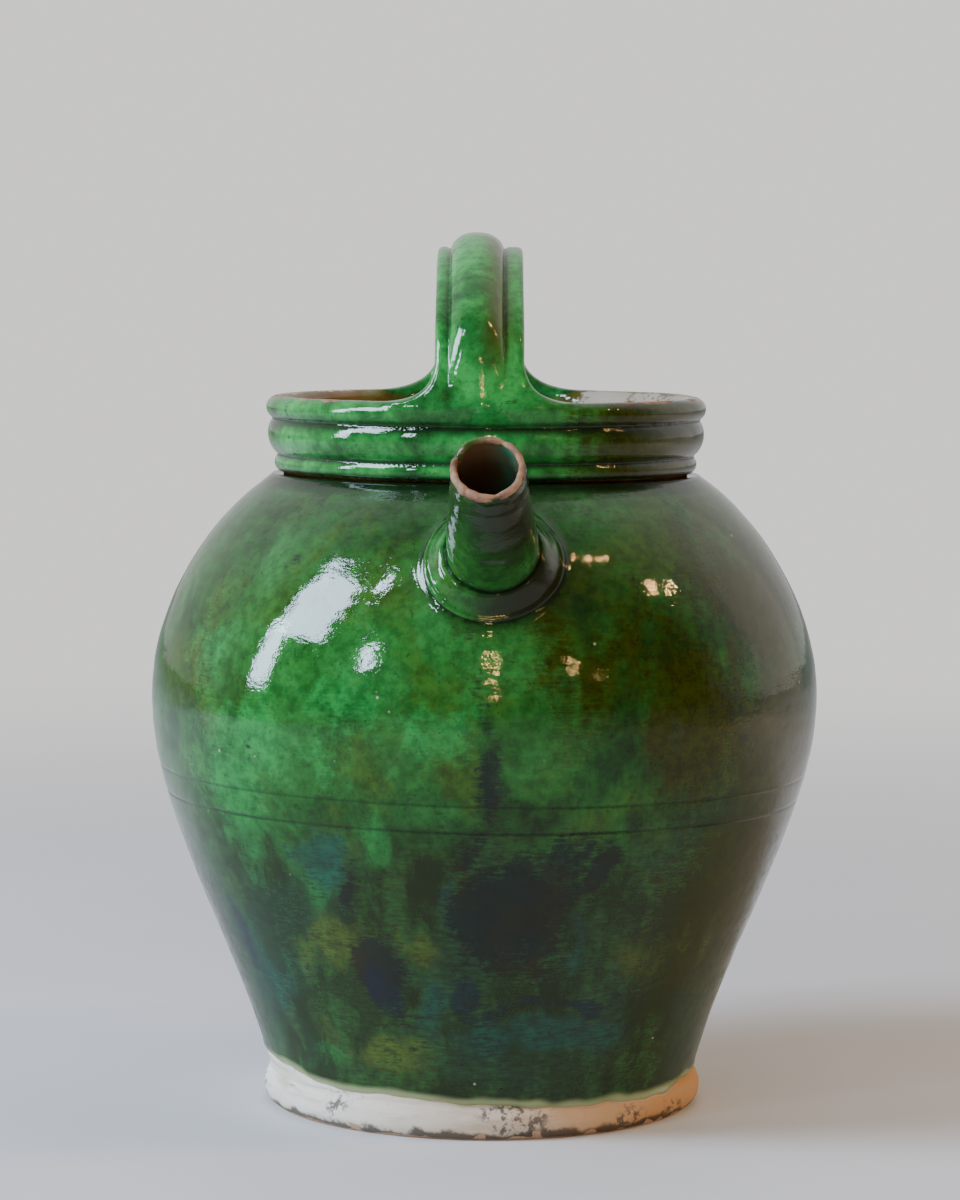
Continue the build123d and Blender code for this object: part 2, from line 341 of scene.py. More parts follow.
def glaze_edge(angle):
    """Height of the glaze's lower edge round the foot."""
    small = 0.35 * np.sin(11 * angle + 1.0) + 0.22 * np.sin(23 * angle) + 0.15 * np.sin(41 * angle + 2)
    return periodic(angle, GLAZE_EDGE) + small


def wheel_marks(points, angle, height):
    """How far the thrown face stands off the ideal one: slow wobble, throwing rings, lines."""
    spiral = height + angle / (2 * math.pi) * 5.0
    rings = lumps(np.stack([np.sin(angle) * 2, np.cos(angle) * 2, spiral / 5.5], -1), 1.0, 3)
    fine = lumps(np.stack([np.sin(angle) * 3, np.cos(angle) * 3, spiral / 2.4], -1), 1.0, 4)
    relief = 0.55 * lumps(points, 85, 1) + 0.22 * lumps(points, 34, 2) + 0.11 * rings + 0.05 * fine
    groove = 0 * height
    for middle, tilt, depth, width in (*BELLY_LINES, SHOULDER_LINE):
        wander = 0.35 * lumps(points, 60, 7)
        uneven = 0.75 + 0.25 * lumps(points, 22, 8)
        line = middle - tilt * np.sin(angle) + wander
        groove = groove + depth * uneven * hump(height, line, width)
    return relief, groove


def fire_mark(tone, points, angle, height):
    """How much of one tone of the fire's patches lies at each point."""
    warp = 7 * lumps(points, 24, 71) + 3 * lumps(points, 9, 72)
    rise = 6 * lumps(points, 24, 73) + 4 * lumps(points, (7, 7, 22), 74)
    total = np.zeros_like(height)
    for turn, middle, half_width, half_height, strength in FIRE_PATCHES[tone]:
        gap = turn_from(math.radians(turn), angle)
        across = (gap * jar_radius(height) + warp) / half_width
        up = (height - middle + rise) / half_height
        total = np.maximum(total, strength * np.exp(-(across**2 + up**2) * 0.75))
    return total


def glaze_coat():
    """The green glass over the jar, from its wavy lower edge to the crease under the collar."""
    columns = 432
    angle = columns_round(columns, 0.55)
    edge = glaze_edge(angle)
    settle_z = 32.0
    edge_steps = np.concatenate([np.linspace(0, 0.16, 9), np.linspace(0.16, 1, 12)[1:]])
    plain = np.arange(settle_z + 1.6, 236, 1.75)
    plain = plain[[all(abs(h - line[0]) > 3.0 for line in BELLY_LINES) for h in plain]]
    close = [np.arange(line[0] - 3.0, line[0] + 3.0, 0.4) for line in BELLY_LINES]
    upper = np.append(np.arange(236, neck_z, 0.9), neck_z + 0.2)
    heights = np.sort(np.concatenate([plain, upper, *close]))
    low_rows = edge[None, :] + (settle_z - edge)[None, :] * edge_steps[:, None]
    high_rows = over_columns(heights, columns)
    height = np.vstack([low_rows, high_rows])
    angles = over_rows(angle, len(height))
    radius = jar_radius(height)
    points = ring_points(angles, height, radius)
    relief, groove = wheel_marks(points, angles, height)
    above_edge = height - edge[None, :]
    body = smoothstep(0, 14, above_edge)
    roll = 0.35 * hump(above_edge, 1.5, 1.3) - 0.75 * (1 - smoothstep(-0.3, 1.3, above_edge))
    neck_fade = 1 - smoothstep(neck_z - 5, neck_z, height)
    along, away = beside_spout(points)
    turn = np.arctan2((points - SPOUT_ROOT) @ SPOUT_UP, (points - SPOUT_ROOT) @ SPOUT_SIDE)
    off_ring = away - ring_outline(turn)
    near_front = along > -40
    fillet = np.where(near_front, 1.5 * np.exp(-np.clip(off_ring, 0, None) / 1.3), 0)
    relief = relief * (0.25 + 0.75 * neck_fade) * (0.3 + 0.7 * body)
    radius = radius + relief - groove + roll + fillet
    outer = ring_points(angles, height, radius)
    inner_height = np.vstack([high_rows[::-14], low_rows[0][None, :] + 0.5])
    inner_height[0] = neck_z + 0.3
    inner_angles = over_rows(angle, len(inner_height))
    inner_radius = jar_radius(inner_height) - 2.2
    inner_radius[0] -= 3.0
    inner = ring_points(inner_angles, inner_height, inner_radius)
    # Painted shade with pooled glaze: the crease under the collar, the incised lines and the ring round
    # the spout are darkened, as glaze gathered there and as the shade that falls there.
    crease = smoothstep(neck_z - 5.0, neck_z - 1.0, height)
    beside_ring = np.where(near_front, 0.9 * np.exp(-np.clip(off_ring, 0, None) / 1.8), 0)
    marks = {
        "pool_and_shade": np.clip(groove * 1.8 + crease + beside_ring, 0, 1),
        "thin": (1 - smoothstep(0.2, 5.5, above_edge + 1.2 * lumps(outer, 7, 9))) * 0.9,
        "dust": smoothstep(200, 252, height) * (0.6 + 0.4 * lumps(outer, 30, 12)),
    }
    for tone in FIRE_PATCHES:
        marks[tone] = fire_mark(tone, outer, angles, height)
    marks = {name: on_outer(values, inner) for name, values in marks.items()}
    points = np.vstack([outer, inner])
    faces = closed_grid(points)
    nodes = ["outer_glaze"]
    return make_piece("glaze_coat", points, faces, marks, green_glaze, nodes)


def slip_band():
    """The cream slip on the bare foot: a thin band that runs up under the glaze."""
    columns = 400
    angle = columns_round(columns, 0.3)
    height = np.concatenate(
        [[0.35, 0.45, 0.8, 1.3, 1.9, 2.6], np.arange(3.4, 15, 0.75), np.arange(15, 30, 1.1)]
    )
    heights = over_columns(height, columns)
    angles = over_rows(angle, len(height))
    radius = jar_radius(heights) - 0.25
    points = ring_points(angles, heights, radius)
    dents = 0.28 * lumps(points, 14, 21) + 0.16 * lumps(points, 4.5, 22)
    dents = dents + 0.1 * lumps(points, (30, 30, 1.6), 23)
    chips = smoothstep(0.52, 0.8, lumps(points, 5.5, 24)) * (1 - smoothstep(2, 5, heights)) * 0.9
    under_glaze = smoothstep(-1.5, 1.0, heights - glaze_edge(angles))
    radius = radius + dents * (1 - under_glaze) - chips - 1.1 * under_glaze
    radius[0] = FOOT_CONTACT_RADIUS - 3
    radius[1] = np.minimum(radius[1], FOOT_CONTACT_RADIUS + 0.2 + 0.5 * dents[1])
    outer = ring_points(angles, heights, radius)
    inner_heights = over_columns(np.array([28.0, 18.0, 10.0, 2.0]), columns)
    inner_angles = over_rows(angle, len(inner_heights))
    inner = ring_points(inner_angles, inner_heights, jar_radius(inner_heights) - 3.0)
    points = np.vstack([outer, inner])
    faces = closed_grid(points)
    marks = {"chip": on_outer(chips, inner)}
    return make_piece("slip_band", points, faces, marks, cream_slip, ["foot_slip"])


# ---------------------------------------------------------------- collar and handle
def arc_through(start, middle, end, count):
    """Points of the circle arc through three (radius, height) points."""
    centre_r, centre_z, radius = circle_through(start, middle, end)
    turns = np.unwrap([math.atan2(z - centre_z, r - centre_r) for r, z in (start, middle, end)])
    sweep = np.linspace(turns[0], turns[-1], count)
    return [(centre_r + radius * math.cos(t), centre_z + radius * math.sin(t)) for t in sweep]


def collar_outline():
    """Half section of the collar: bead, groove, broad band, groove, rolled rim, mouth."""
    foot = roll_radius - 6.5
    bore = foot - 8.1

    def at(stand, height):
        return foot + stand, neck_z + height

    outline = [at(-1.6, -0.4)]
    outline += arc_through(at(-0.6, 0.6), at(2.9, 4.2), at(2.2, 7.2), 14)
    outline += arc_through(at(1.4, 7.9), at(5.8, 17.6), at(4.6, 21.8), 22)
    outline += [at(3.7, 22.5)]
    outline += arc_through(at(4.6, 23.3), at(6.5, 26.4), at(2.4, 31.8), 18)
    outline += arc_through(at(1.2, 32.0), at(-1.6, 30.2), at(-3.6, 25.0), 10)
    outline += [(bore, neck_z + 2), (bore, neck_z - 0.4)]
    return np.array(outline)


def section_distance(outline, radii, heights):
    """Signed distance to a closed outline, on a grid of radii and heights."""
    grid_r, grid_z = np.meshgrid(radii, heights, indexing="ij")
    nearest = np.full(grid_r.shape, 1e9)
    inside = np.zeros(grid_r.shape, bool)
    for (r1, z1), (r2, z2) in zip(outline, np.roll(outline, -1, axis=0)):
        run, climb = r2 - r1, z2 - z1
        square = run**2 + climb**2
        part = np.clip(((grid_r - r1) * run + (grid_z - z1) * climb) / square, 0, 1)
        nearest = np.minimum(nearest, np.hypot(grid_r - r1 - part * run, grid_z - z1 - part * climb))
        if climb:
            crosses = (z1 > grid_z) != (z2 > grid_z)
            inside ^= crosses & (grid_r < r1 + (grid_z - z1) / climb * run)
    return np.where(inside, -nearest, nearest)


SECTION_STEP = 0.125
section_radii = np.arange(60, 108, SECTION_STEP)
section_heights = np.arange(neck_z - 12, crest_z + 16, SECTION_STEP)
section_table = section_distance(collar_outline(), section_radii, section_heights)


def collar_field(points):
    """Signed distance to the collar, read from the table of its section."""
    away = np.hypot(points[..., 0], points[..., 1])
    r = np.clip((away - section_radii[0]) / SECTION_STEP, 0, len(section_radii) - 1.001)
    z = np.clip((points[..., 2] - section_heights[0]) / SECTION_STEP, 0, len(section_heights) - 1.001)
    i, j = r.astype(int), z.astype(int)
    u, v = r - i, z - j
    table = section_table
    low = table[i, j] * (1 - u) + table[i + 1, j] * u
    high = table[i, j + 1] * (1 - u) + table[i + 1, j + 1] * u
    beyond = np.clip(points[..., 2] - section_heights[-1], 0, None)
    return low * (1 - v) + high * v + beyond


foot_of_strap = roll_radius - 5.7
shoulder_y = foot_of_strap - HANDLE_SHOULDER_RADIUS
strap_rise = strap_high[2] - RIB_HEIGHT - FLANGE_HALF - crest_z
crown_radius = (shoulder_y**2 + strap_rise**2 - HANDLE_SHOULDER_RADIUS**2) / (
    2 * (strap_rise - HANDLE_SHOULDER_RADIUS)
)
crown_z = crest_z + strap_rise - crown_radius
crown_half_angle = math.atan2(shoulder_y, crest_z - crown_z)


def strap_place(points):
    """Where a point lies on the strap: height above the rim along it, across it, and off it."""
    x, y, z = points[..., 0] - HANDLE_X, points[..., 1], points[..., 2]
    side = np.where(y < 0, -1.0, 1.0)
    reach = np.abs(y)
    over_crown = np.arctan2(reach, z - crown_z) < crown_half_angle
    shoulder_turn = np.arctan2(z - crest_z, reach - shoulder_y)
    on_leg = z < crest_z
    along = np.where(on_leg, z - crest_z, HANDLE_SHOULDER_RADIUS * shoulder_turn)
    along = np.where(over_crown & ~on_leg, 60.0, along)
    near_rim = 1 - smoothstep(-2, 26, along)
    round_reach = np.hypot(points[..., 0], y)
    bent = reach + (round_reach - reach) * near_rim
    off_leg = bent - foot_of_strap
    off_shoulder = np.hypot(bent - shoulder_y, z - crest_z) - HANDLE_SHOULDER_RADIUS
    off_crown = np.hypot(reach, z - crown_z) - crown_radius
    off = np.where(on_leg, off_leg, np.where(over_crown, off_crown, off_shoulder))
    return along, x, off, side


def strap_field(points):
    """Distance-like field of the strap: rib and flanges above, spread roots on the rim."""
    along, across, off, side = strap_place(points)
    spread_width = np.where(side < 0, 14.5, 20.0)
    spread_height = np.where(side < 0, 17.0, 19.0)
    climb = np.clip(along / spread_height, 0, 1)
    spread = spread_width * (1 - np.sqrt(np.clip(1 - (1 - climb) ** 2, 0, 1)))
    tuck = np.clip(-along, 0, 12) * 1.1
    half_width = STRAP_HALF_WIDTH + spread - tuck
    fade = smoothstep(2, 30, along)
    flat = np.abs(across)
    off_rib = np.abs(across - RIB_MIDDLE)
    rib = RIB_HEIGHT * np.clip(1 - (off_rib / RIB_HALF_WIDTH) ** 2.5, 0, 1) ** 0.75
    groove = 0.7 * hump(off_rib, RIB_HALF_WIDTH + 0.6, 0.75)
    low_rib = 2.6 * np.exp(-((flat / 15) ** 2)) * (1 - fade) * smoothstep(-8, 6, along)
    swell = 0.25 * lumps(points, 26, 31) + 0.1 * lumps(points, 9, 32)
    top = FLANGE_HALF - 0.4 + (rib - groove) * fade + low_rib + swell
    bottom = -(FLANGE_HALF - 0.9 * (flat / STRAP_HALF_WIDTH) ** 2)
    side_gap = flat - half_width
    shell = smooth_max(off - top, bottom - off, 2.0)
    shell = smooth_max(shell, side_gap, 2.6)
    return smooth_max(shell, -along - 7.5, 3.0)


def collar_and_handle_field(points):
    """One skin of glazed clay: the strap's roots flow into the rim."""
    collar = collar_field(points)
    strap = strap_field(points)
    reach = 1.6 + 7.0 * smoothstep(crest_z - 8, crest_z - 1, points[..., 2])
    wobble = 0.22 * lumps(points, 40, 33)
    return smooth_min(collar, strap, reach) + wobble


def field_slope(field, points, step=0.05):
    """Gradient of a field at the given points."""
    slopes = []
    for axis in range(3):
        shift = np.zeros(3)
        shift[axis] = step
        slopes.append((field(points + shift) - field(points - shift)) / (2 * step))
    return np.stack(slopes, axis=-1)


def skin_of(field, low, high, step):
    """Quads on the zero surface of a field, with every corner pulled exactly onto it."""
    axes = [np.arange(a, b, step) for a, b in zip(low, high)]
    values = np.empty([len(axis) for axis in axes], np.float32)
    y, z = np.meshgrid(axes[1], axes[2], indexing="ij")
    for index, x in enumerate(axes[0]):
        values[index] = field(np.stack([np.full_like(y, x), y, z], axis=-1))
    grid = openvdb.FloatGrid(3.0 * step)
    grid.copyFromArray(np.clip(values, -3 * step, 3 * step))
    points, _, quads = grid.convertToPolygons(0.0, 0.0)
    points = points.astype(float) * step + np.array(low)
    for _ in range(2):
        slope = field_slope(field, points)
        square = np.clip((slope**2).sum(-1), 0.2, None)
        points = points - (np.clip(field(points), -0.5, 0.5) / square)[:, None] * slope
    return points, quads.astype(int)


def collar_and_handle():
    """The collar and the strap in one skin, with marks for pooled glaze and painted shade, for worn spots
    and a painted lit patch inside the far rim, and for tones, with a painted warm shade on the right
    front.
    """
    low = (-roll_radius - 3, strap_low[1] - 4, neck_z - 3)
    high = (roll_radius + 3, strap_high[1] + 4, strap_high[2] + 3)
    step = 0.96
    points, faces = skin_of(collar_and_handle_field, low, high, step)
    along, across, off, _ = strap_place(points)
    away = np.hypot(points[:, 0], points[:, 1])
    height = points[:, 2] - neck_z
    off_collar = collar_field(points)
    on_collar = off_collar < 0.8
    outside = away > roll_radius - 6.5
    # Painted shade with pooled glaze: the grooves and the bead's underside down into the crease are
    # darkened.
    low_groove = hump(height, 8.0, 1.2) + hump(height, 21.9, 2.6) + (1 - smoothstep(1.8, 4.8, height))
    pool_and_shade = np.where(outside & on_collar, np.clip(low_groove, 0, 1), 0)
    on_strap = smoothstep(3, 28, along)
    # Painted shade with pooled glaze in the rib's grooves and where the strap's roots meet the rim.
    rib_groove = hump(np.abs(across - RIB_MIDDLE), RIB_HALF_WIDTH + 0.5, 0.7) * (off > 0)
    pool_and_shade = np.maximum(pool_and_shade, 0.8 * on_strap * rib_groove)
    near_strap = 1 - smoothstep(1.5, 9, np.abs(strap_field(points)))
    near_collar = 1 - smoothstep(0.5, 6, off_collar)
    pool_and_shade = np.maximum(pool_and_shade, 0.35 * near_strap * near_collar)
    crest = hump(height, 32.2, 1.6) * (off_collar < 0.6)
    patchy = 0.5 + 0.5 * lumps(points, 13, 41) + 0.35 * lumps(points, 4, 42)
    near_handle = hump(points[:, 0] - HANDLE_X, 0, 52)
    wear_and_painted_light = np.clip(crest * (patchy + 0.25 - 0.9 * near_handle), 0, 1)
    mouth = np.where(on_collar & (away < roll_radius - 5.0), smoothstep(33.0, 31.0, height), 0)
    mouth = np.clip(mouth * (1.1 - 0.9 * near_handle + 0.35 * lumps(points, 16, 43)), 0, 1)
    # Painted light: the far inner rim on the right gets pale bare spots, which stand in for the light that
    # wall catches.
    lit_far_right = smoothstep(18, 55, points[:, 0]) * smoothstep(-25, 25, points[:, 1])
    wear_and_painted_light = np.maximum(wear_and_painted_light, mouth * lit_far_right * np.clip(patchy + 0.45, 0, 1))
    patchy_brown = smoothstep(-0.9, 0.6, lumps(points, 30, 44) + 0.4)
    brown = on_strap * hump(across, 7.5, 5.0) * (points[:, 1] < 20) * patchy_brown
    # Painted warm shade: the right front of the collar is tinted olive and made less vivid by where it
    # lies, for the warm light and shade on that side.
    right_side = smoothstep(12, 62, points[:, 0]) * (1 - smoothstep(-10, 50, points[:, 1]))
    olive = right_side * (1 - on_strap)
    vivid = 1 - 0.8 * olive
    marks = {"pool_and_shade": pool_and_shade, "wear_and_painted_light": wear_and_painted_light, "mouth": mouth, "brown": brown, "olive": olive, "vivid": vivid}
    nodes = ["rim_collar", "handle_strap", "handle_front_root", "handle_rear_root"]
    return make_piece("collar_and_handle", points, faces, marks, green_glaze, nodes)


# ---------------------------------------------------------------- spout and luting ring
def round_spout(turn, along, radius):
    """Points round the spout's axis."""
    across = np.cos(turn)[..., None] * SPOUT_SIDE + np.sin(turn)[..., None] * SPOUT_UP
    return SPOUT_ROOT + along[..., None] * SPOUT_AXIS + radius[..., None] * across


# Bites out of the lip: place round the axis (0 is +X, a quarter turn is up), width and depth.
LIP_BITES = (
    (math.pi - 0.45, 0.17, 1.9), (1.15, 0.13, 0.9), (-1.3, 0.2, 0.7), (0.2, 0.1, 0.6), (-2.2, 0.1, 0.7),
)
BORE_FLARE = 0.6


def spout():
    """The thrown tube: throwing rings outside, a chipped bare lip, and the bore."""
    columns = 300
    turn = np.linspace(-math.pi, math.pi, columns, endpoint=False)
    tip = SPOUT_LENGTH
    lip_turn = np.linspace(0, math.pi, 15)
    lip_inside = BORE_RADII[1] + BORE_FLARE
    lip_half = (SPOUT_RADII[1] - lip_inside) / 2
    outer_s = np.concatenate([np.linspace(-9, 50, 60), np.linspace(50.8, tip - lip_half, 18)])
    outer_r = np.interp(outer_s, [0, tip], SPOUT_RADII)
    outer_r = np.where(outer_s < 0, SPOUT_RADII[0], outer_r) + 0.25 * hump(outer_s, tip - 3, 4.0)
    lip_s = tip - lip_half + lip_half * np.sin(lip_turn[1:-1])
    lip_r = lip_inside + lip_half + lip_half * np.cos(lip_turn[1:-1])
    bore_s = np.concatenate([np.linspace(tip - lip_half, 50, 16), np.linspace(48, -18, 26)])
    bore_r = np.interp(bore_s, [0, tip], BORE_RADII) + BORE_FLARE * smoothstep(tip - 14, tip - 2, bore_s)
    along = np.concatenate([outer_s, lip_s, bore_s])
    radius = np.concatenate([outer_r, lip_r, bore_r])
    rows = len(along)
    alongs = over_columns(along, columns)
    radii = over_columns(radius, columns)
    turns = over_rows(turn, rows)
    points = round_spout(turns, alongs, radii)
    rings = lumps(np.stack([np.cos(turns), np.sin(turns), (alongs + turns) / 3.6], -1), 1.0, 51)
    is_lip = smoothstep(tip - 6, tip - 2.5, alongs)
    rough = is_lip * (0.22 * lumps(points, 2.4, 52) + 0.3 * lumps(points, 7, 53))
    outside = np.arange(rows)[:, None] < len(outer_s)
    soft = 0.35 * lumps(points, 26, 54) + 0.13 * rings + 0.15 * hump(alongs, 31, 2.0)
    radii = radii + np.where(outside, soft * (1 - is_lip), 0.3 * soft) + rough
    # The worn end: it dips unevenly, with one bite on the left and smaller ones round it.
    dip = 0.5 * np.sin(turn + 1.0) + 0.35 * lumps(round_spout(turn, 0 * turn + tip, 0 * turn + 12), 8, 55)
    for place, width, depth in LIP_BITES:
        dip = dip + depth * hump(turn_from(place, turn), 0, width)
    alongs = alongs - dip[None, :] * smoothstep(tip - 9, tip, alongs)
    alongs = alongs + 0.18 * is_lip * lumps(points, 1.9, 56)
    points = round_spout(turns, alongs, radii)
    ragged = 0.9 * lumps(points, 3.2, 57) + 0.6 * lumps(points, 8, 58)
    bare = smoothstep(tip - 2.4, tip - 1.7, alongs + ragged)
    bare = np.where(outside, bare, smoothstep(tip - 1.9, tip - 1.2, alongs + 0.7 * ragged))
    glazed_arc = hump(turn_from(2.2, turns), 0, 0.55)
    bare = bare * (1 - 0.95 * glazed_arc)
    in_bore = np.arange(rows)[:, None] >= len(outer_s) + len(lip_s)
    deep = smoothstep(tip - 30, tip - 50, alongs + 5 * lumps(points, 7, 59))
    inside = np.where(in_bore, 1 - 0.6 * deep, 0)
    green_wall = hump(turn_from(0.85, turns), 0, 0.50) * (0.9 + 0.5 * lumps(points, 8, 66))
    green_wall = np.where(in_bore, np.clip(green_wall, 0, 1), 0)
    # Grime and painted shade: the tube darkens towards its end as grime, and more on its right and lower
    # side, away from the window, as painted shade.
    aside = np.cos(turns) * 0.9 - np.sin(turns) * 0.2 + 0.5 * lumps(points, 14, 60)
    facing = smoothstep(-0.9, 0.9, aside)
    dirt_and_shade = np.where(outside, smoothstep(10, 34, alongs) * (0.35 + 0.65 * facing), 0)
    # Painted shade with pooled glaze in the crease where the tube leaves the ring.
    pool_and_shade = np.where(outside, hump(alongs, RING_HEIGHT, 1.6), 0)
    marks = {"bare": bare, "inside": inside, "grime_and_shade": dirt_and_shade, "pool_and_shade": pool_and_shade, "vivid": green_wall}
    faces = closed_grid(points)
    return make_piece("spout", points, faces, marks, green_glaze, ["spout_tube"])


def wall_along_spout(turn, radius):
    """How far along the spout's axis the jar's face lies, off the axis by radius."""
    along = np.zeros_like(turn)
    for _ in range(25):
        points = round_spout(turn, along, radius)
        gap = np.hypot(points[..., 0], points[..., 1]) - jar_radius(points[..., 2])
        along = along - 0.7 * gap
    return along


def luting_ring():
    """The coil of clay thumbed round the spout's root."""
    columns = 260
    turn = np.linspace(-math.pi, math.pi, columns, endpoint=False)
    edge = ring_outline(turn)
    base = wall_along_spout(turn, edge)
    top_t = np.linspace(0, 1, 34)
    start = SPOUT_RADII[0] - 1.2
    top_along = RING_HEIGHT + 0.5 * np.sin(turn * 2 + 1)
    rows_r, rows_s = [start - 3 + 0 * turn, start + 0 * turn], [base - 6, top_along - 1.2]
    for part in top_t:
        ease = smoothstep(0, 1, part)
        lift = 2.1 * math.sin(math.pi * min(part * 1.1, 1.0)) * (1 - 0.4 * part)
        rows_r.append(start + 0.3 + (edge - 1.6 - start - 0.3) * part)
        rows_s.append(top_along + (base + 2.9 - top_along) * (0.35 * part + 0.65 * ease) + lift)
    for bend in np.linspace(0, math.pi / 2, 9)[1:]:
        rows_r.append(edge - 1.6 + 1.6 * math.sin(bend))
        rows_s.append(base + 1.3 + 1.6 * math.cos(bend))
    rows_r += [edge + 0.15, edge + 0.1, edge - 3]
    rows_s += [base + 0.2, base - 2.5, base - 6]
    radius, along = np.array(rows_r), np.array(rows_s)
    turns = over_rows(turn, len(radius))
    points = round_spout(turns, along, radius)
    thumbed = 0.7 * lumps(points, 12, 61) + 0.3 * lumps(points, 5, 62)
    on_top = np.zeros(len(radius))
    on_top[3:-6] = 1
    along = along + thumbed * on_top[:, None]
    points = round_spout(turns, along, radius)
    part = np.zeros(len(radius))
    part[2 : 2 + len(top_t)] = top_t
    # Painted shade with pooled glaze under the tube and where the ring meets the jar.
    pool_and_shade = np.zeros_like(radius)
    pool_and_shade[:5] = 1
    pool_and_shade[5:9] = 0.6
    pool_and_shade[-6:] = 0.8
    # Grime and painted shade: the ring darkens underneath and on its right side, away from the window.
    to_right = smoothstep(-0.75, 0.2, np.cos(turns) + 0.3 * lumps(points, 9, 67))
    under = smoothstep(0.6, -0.4, np.sin(turns)) * to_right
    marks = {"pool_and_shade": pool_and_shade, "grime_and_shade": under}
    faces = closed_grid(points)
    nodes = ["spout_luting_ring"]
    return make_piece("luting_ring", points, faces, marks, green_glaze, nodes)


# ---------------------------------------------------------------- materials
class Nodes:
    """A node tree with short calls for the nodes that the finishes and the room use."""

    def __init__(self, tree, coordinates="Object"):
        self.tree = tree
        self.place = self.node("ShaderNodeTexCoord").outputs[coordinates]

    def node(self, kind, **settings):
        made = self.tree.nodes.new(kind)
        for key, value in settings.items():
            setattr(made, key, value)
        return made

    def plug(self, value, socket):
        if isinstance(value, bpy.types.NodeSocket):
            self.tree.links.new(value, socket)
        else:
            socket.default_value = value

    def mark(self, name):
        return self.node("ShaderNodeAttribute", attribute_name=name).outputs["Fac"]

    def axis(self, letter):
        parts = self.node("ShaderNodeSeparateXYZ")
        self.plug(self.place, parts.inputs["Vector"])
        return parts.outputs[letter]

    def stretched(self, x, y, z, shift=0.0):
        mapping = self.node("ShaderNodeMapping")
        mapping.inputs["Scale"].default_value = (x, y, z)
        mapping.inputs["Location"].default_value = (shift, shift * 0.7, shift * 1.3)
        self.plug(self.place, mapping.inputs["Vector"])
        return mapping.outputs["Vector"]

    def noise(self, scale, detail=4.0, rough=0.55, where=None, warp=0.0):
        made = self.node("ShaderNodeTexNoise")
        self.plug(where or self.place, made.inputs["Vector"])
        made.inputs["Scale"].default_value = scale
        made.inputs["Detail"].default_value = detail
        made.inputs["Roughness"].default_value = rough
        made.inputs["Distortion"].default_value = warp
        return made.outputs["Fac"]

    def cells(self, scale, feature="F1", where=None):
        made = self.node("ShaderNodeTexVoronoi", feature=feature)
        self.plug(where or self.place, made.inputs["Vector"])
        made.inputs["Scale"].default_value = scale
        return made.outputs["Distance"]

    def span(self, value, low, high, to_low=0.0, to_high=1.0):
        made = self.node("ShaderNodeMapRange", interpolation_type="SMOOTHSTEP")
        for socket, number in zip(made.inputs, (value, low, high, to_low, to_high)):
            self.plug(number, socket)
        return made.outputs["Result"]

    def math(self, kind, a, b):
        made = self.node("ShaderNodeMath", operation=kind)
        self.plug(a, made.inputs[0])
        self.plug(b, made.inputs[1])
        return made.outputs["Value"]

    def plus(self, a, b):
        return self.math("ADD", a, b)

    def times(self, a, b):
        return self.math("MULTIPLY", a, b)

    def swing(self, value, size):
        """A 0 to 1 value made to swing about zero."""
        return self.times(self.math("SUBTRACT", value, 0.5), size)

    def mix(self, amount, a, b, blend="MIX"):
        made = self.node("ShaderNodeMix", data_type="RGBA", blend_type=blend)
        self.plug(amount, made.inputs["Factor"])
        for socket, colour in ((made.inputs["A"], a), (made.inputs["B"], b)):
            self.plug(colour if isinstance(colour, bpy.types.NodeSocket) else (*colour, 1), socket)
        return made.outputs["Result"]

    def bump(self, height, distance, strength=1.0, under=None):
        made = self.node("ShaderNodeBump")
        self.plug(height, made.inputs["Height"])
        made.inputs["Distance"].default_value = distance
        made.inputs["Strength"].default_value = strength
        if under:
            self.plug(under, made.inputs["Normal"])
        return made.outputs["Normal"]

    def glow(self, colour):
        made = self.node("ShaderNodeEmission")
        made.inputs["Color"].default_value = (*colour, 1)
        return made.outputs["Emission"]

    def mix_shaders(self, amount, first, second):
        made = self.node("ShaderNodeMixShader")
        for socket, value in zip(made.inputs, (amount, first, second)):
            self.plug(value, socket)
        return made.outputs["Shader"]


class Shader(Nodes):
    """A material whose colour is built up in layers, each laid over the ones before it."""

    def __init__(self, name):
        self.material = bpy.data.materials.new(name)
        self.material.use_nodes = True
        super().__init__(self.material.node_tree)
        self.surface = self.tree.nodes["Principled BSDF"]
        self.colour = None

    def lay(self, amount, colour, blend="MIX"):
        self.colour = self.mix(amount, self.colour, colour, blend)

    def finish(self, roughness, normal, **fixed):
        self.plug(self.colour, self.surface.inputs["Base Color"])
        self.plug(roughness, self.surface.inputs["Roughness"])
        self.plug(normal, self.surface.inputs["Normal"])
        for socket, value in fixed.items():
            self.surface.inputs[socket.replace("_", " ")].default_value = value
        return self.material


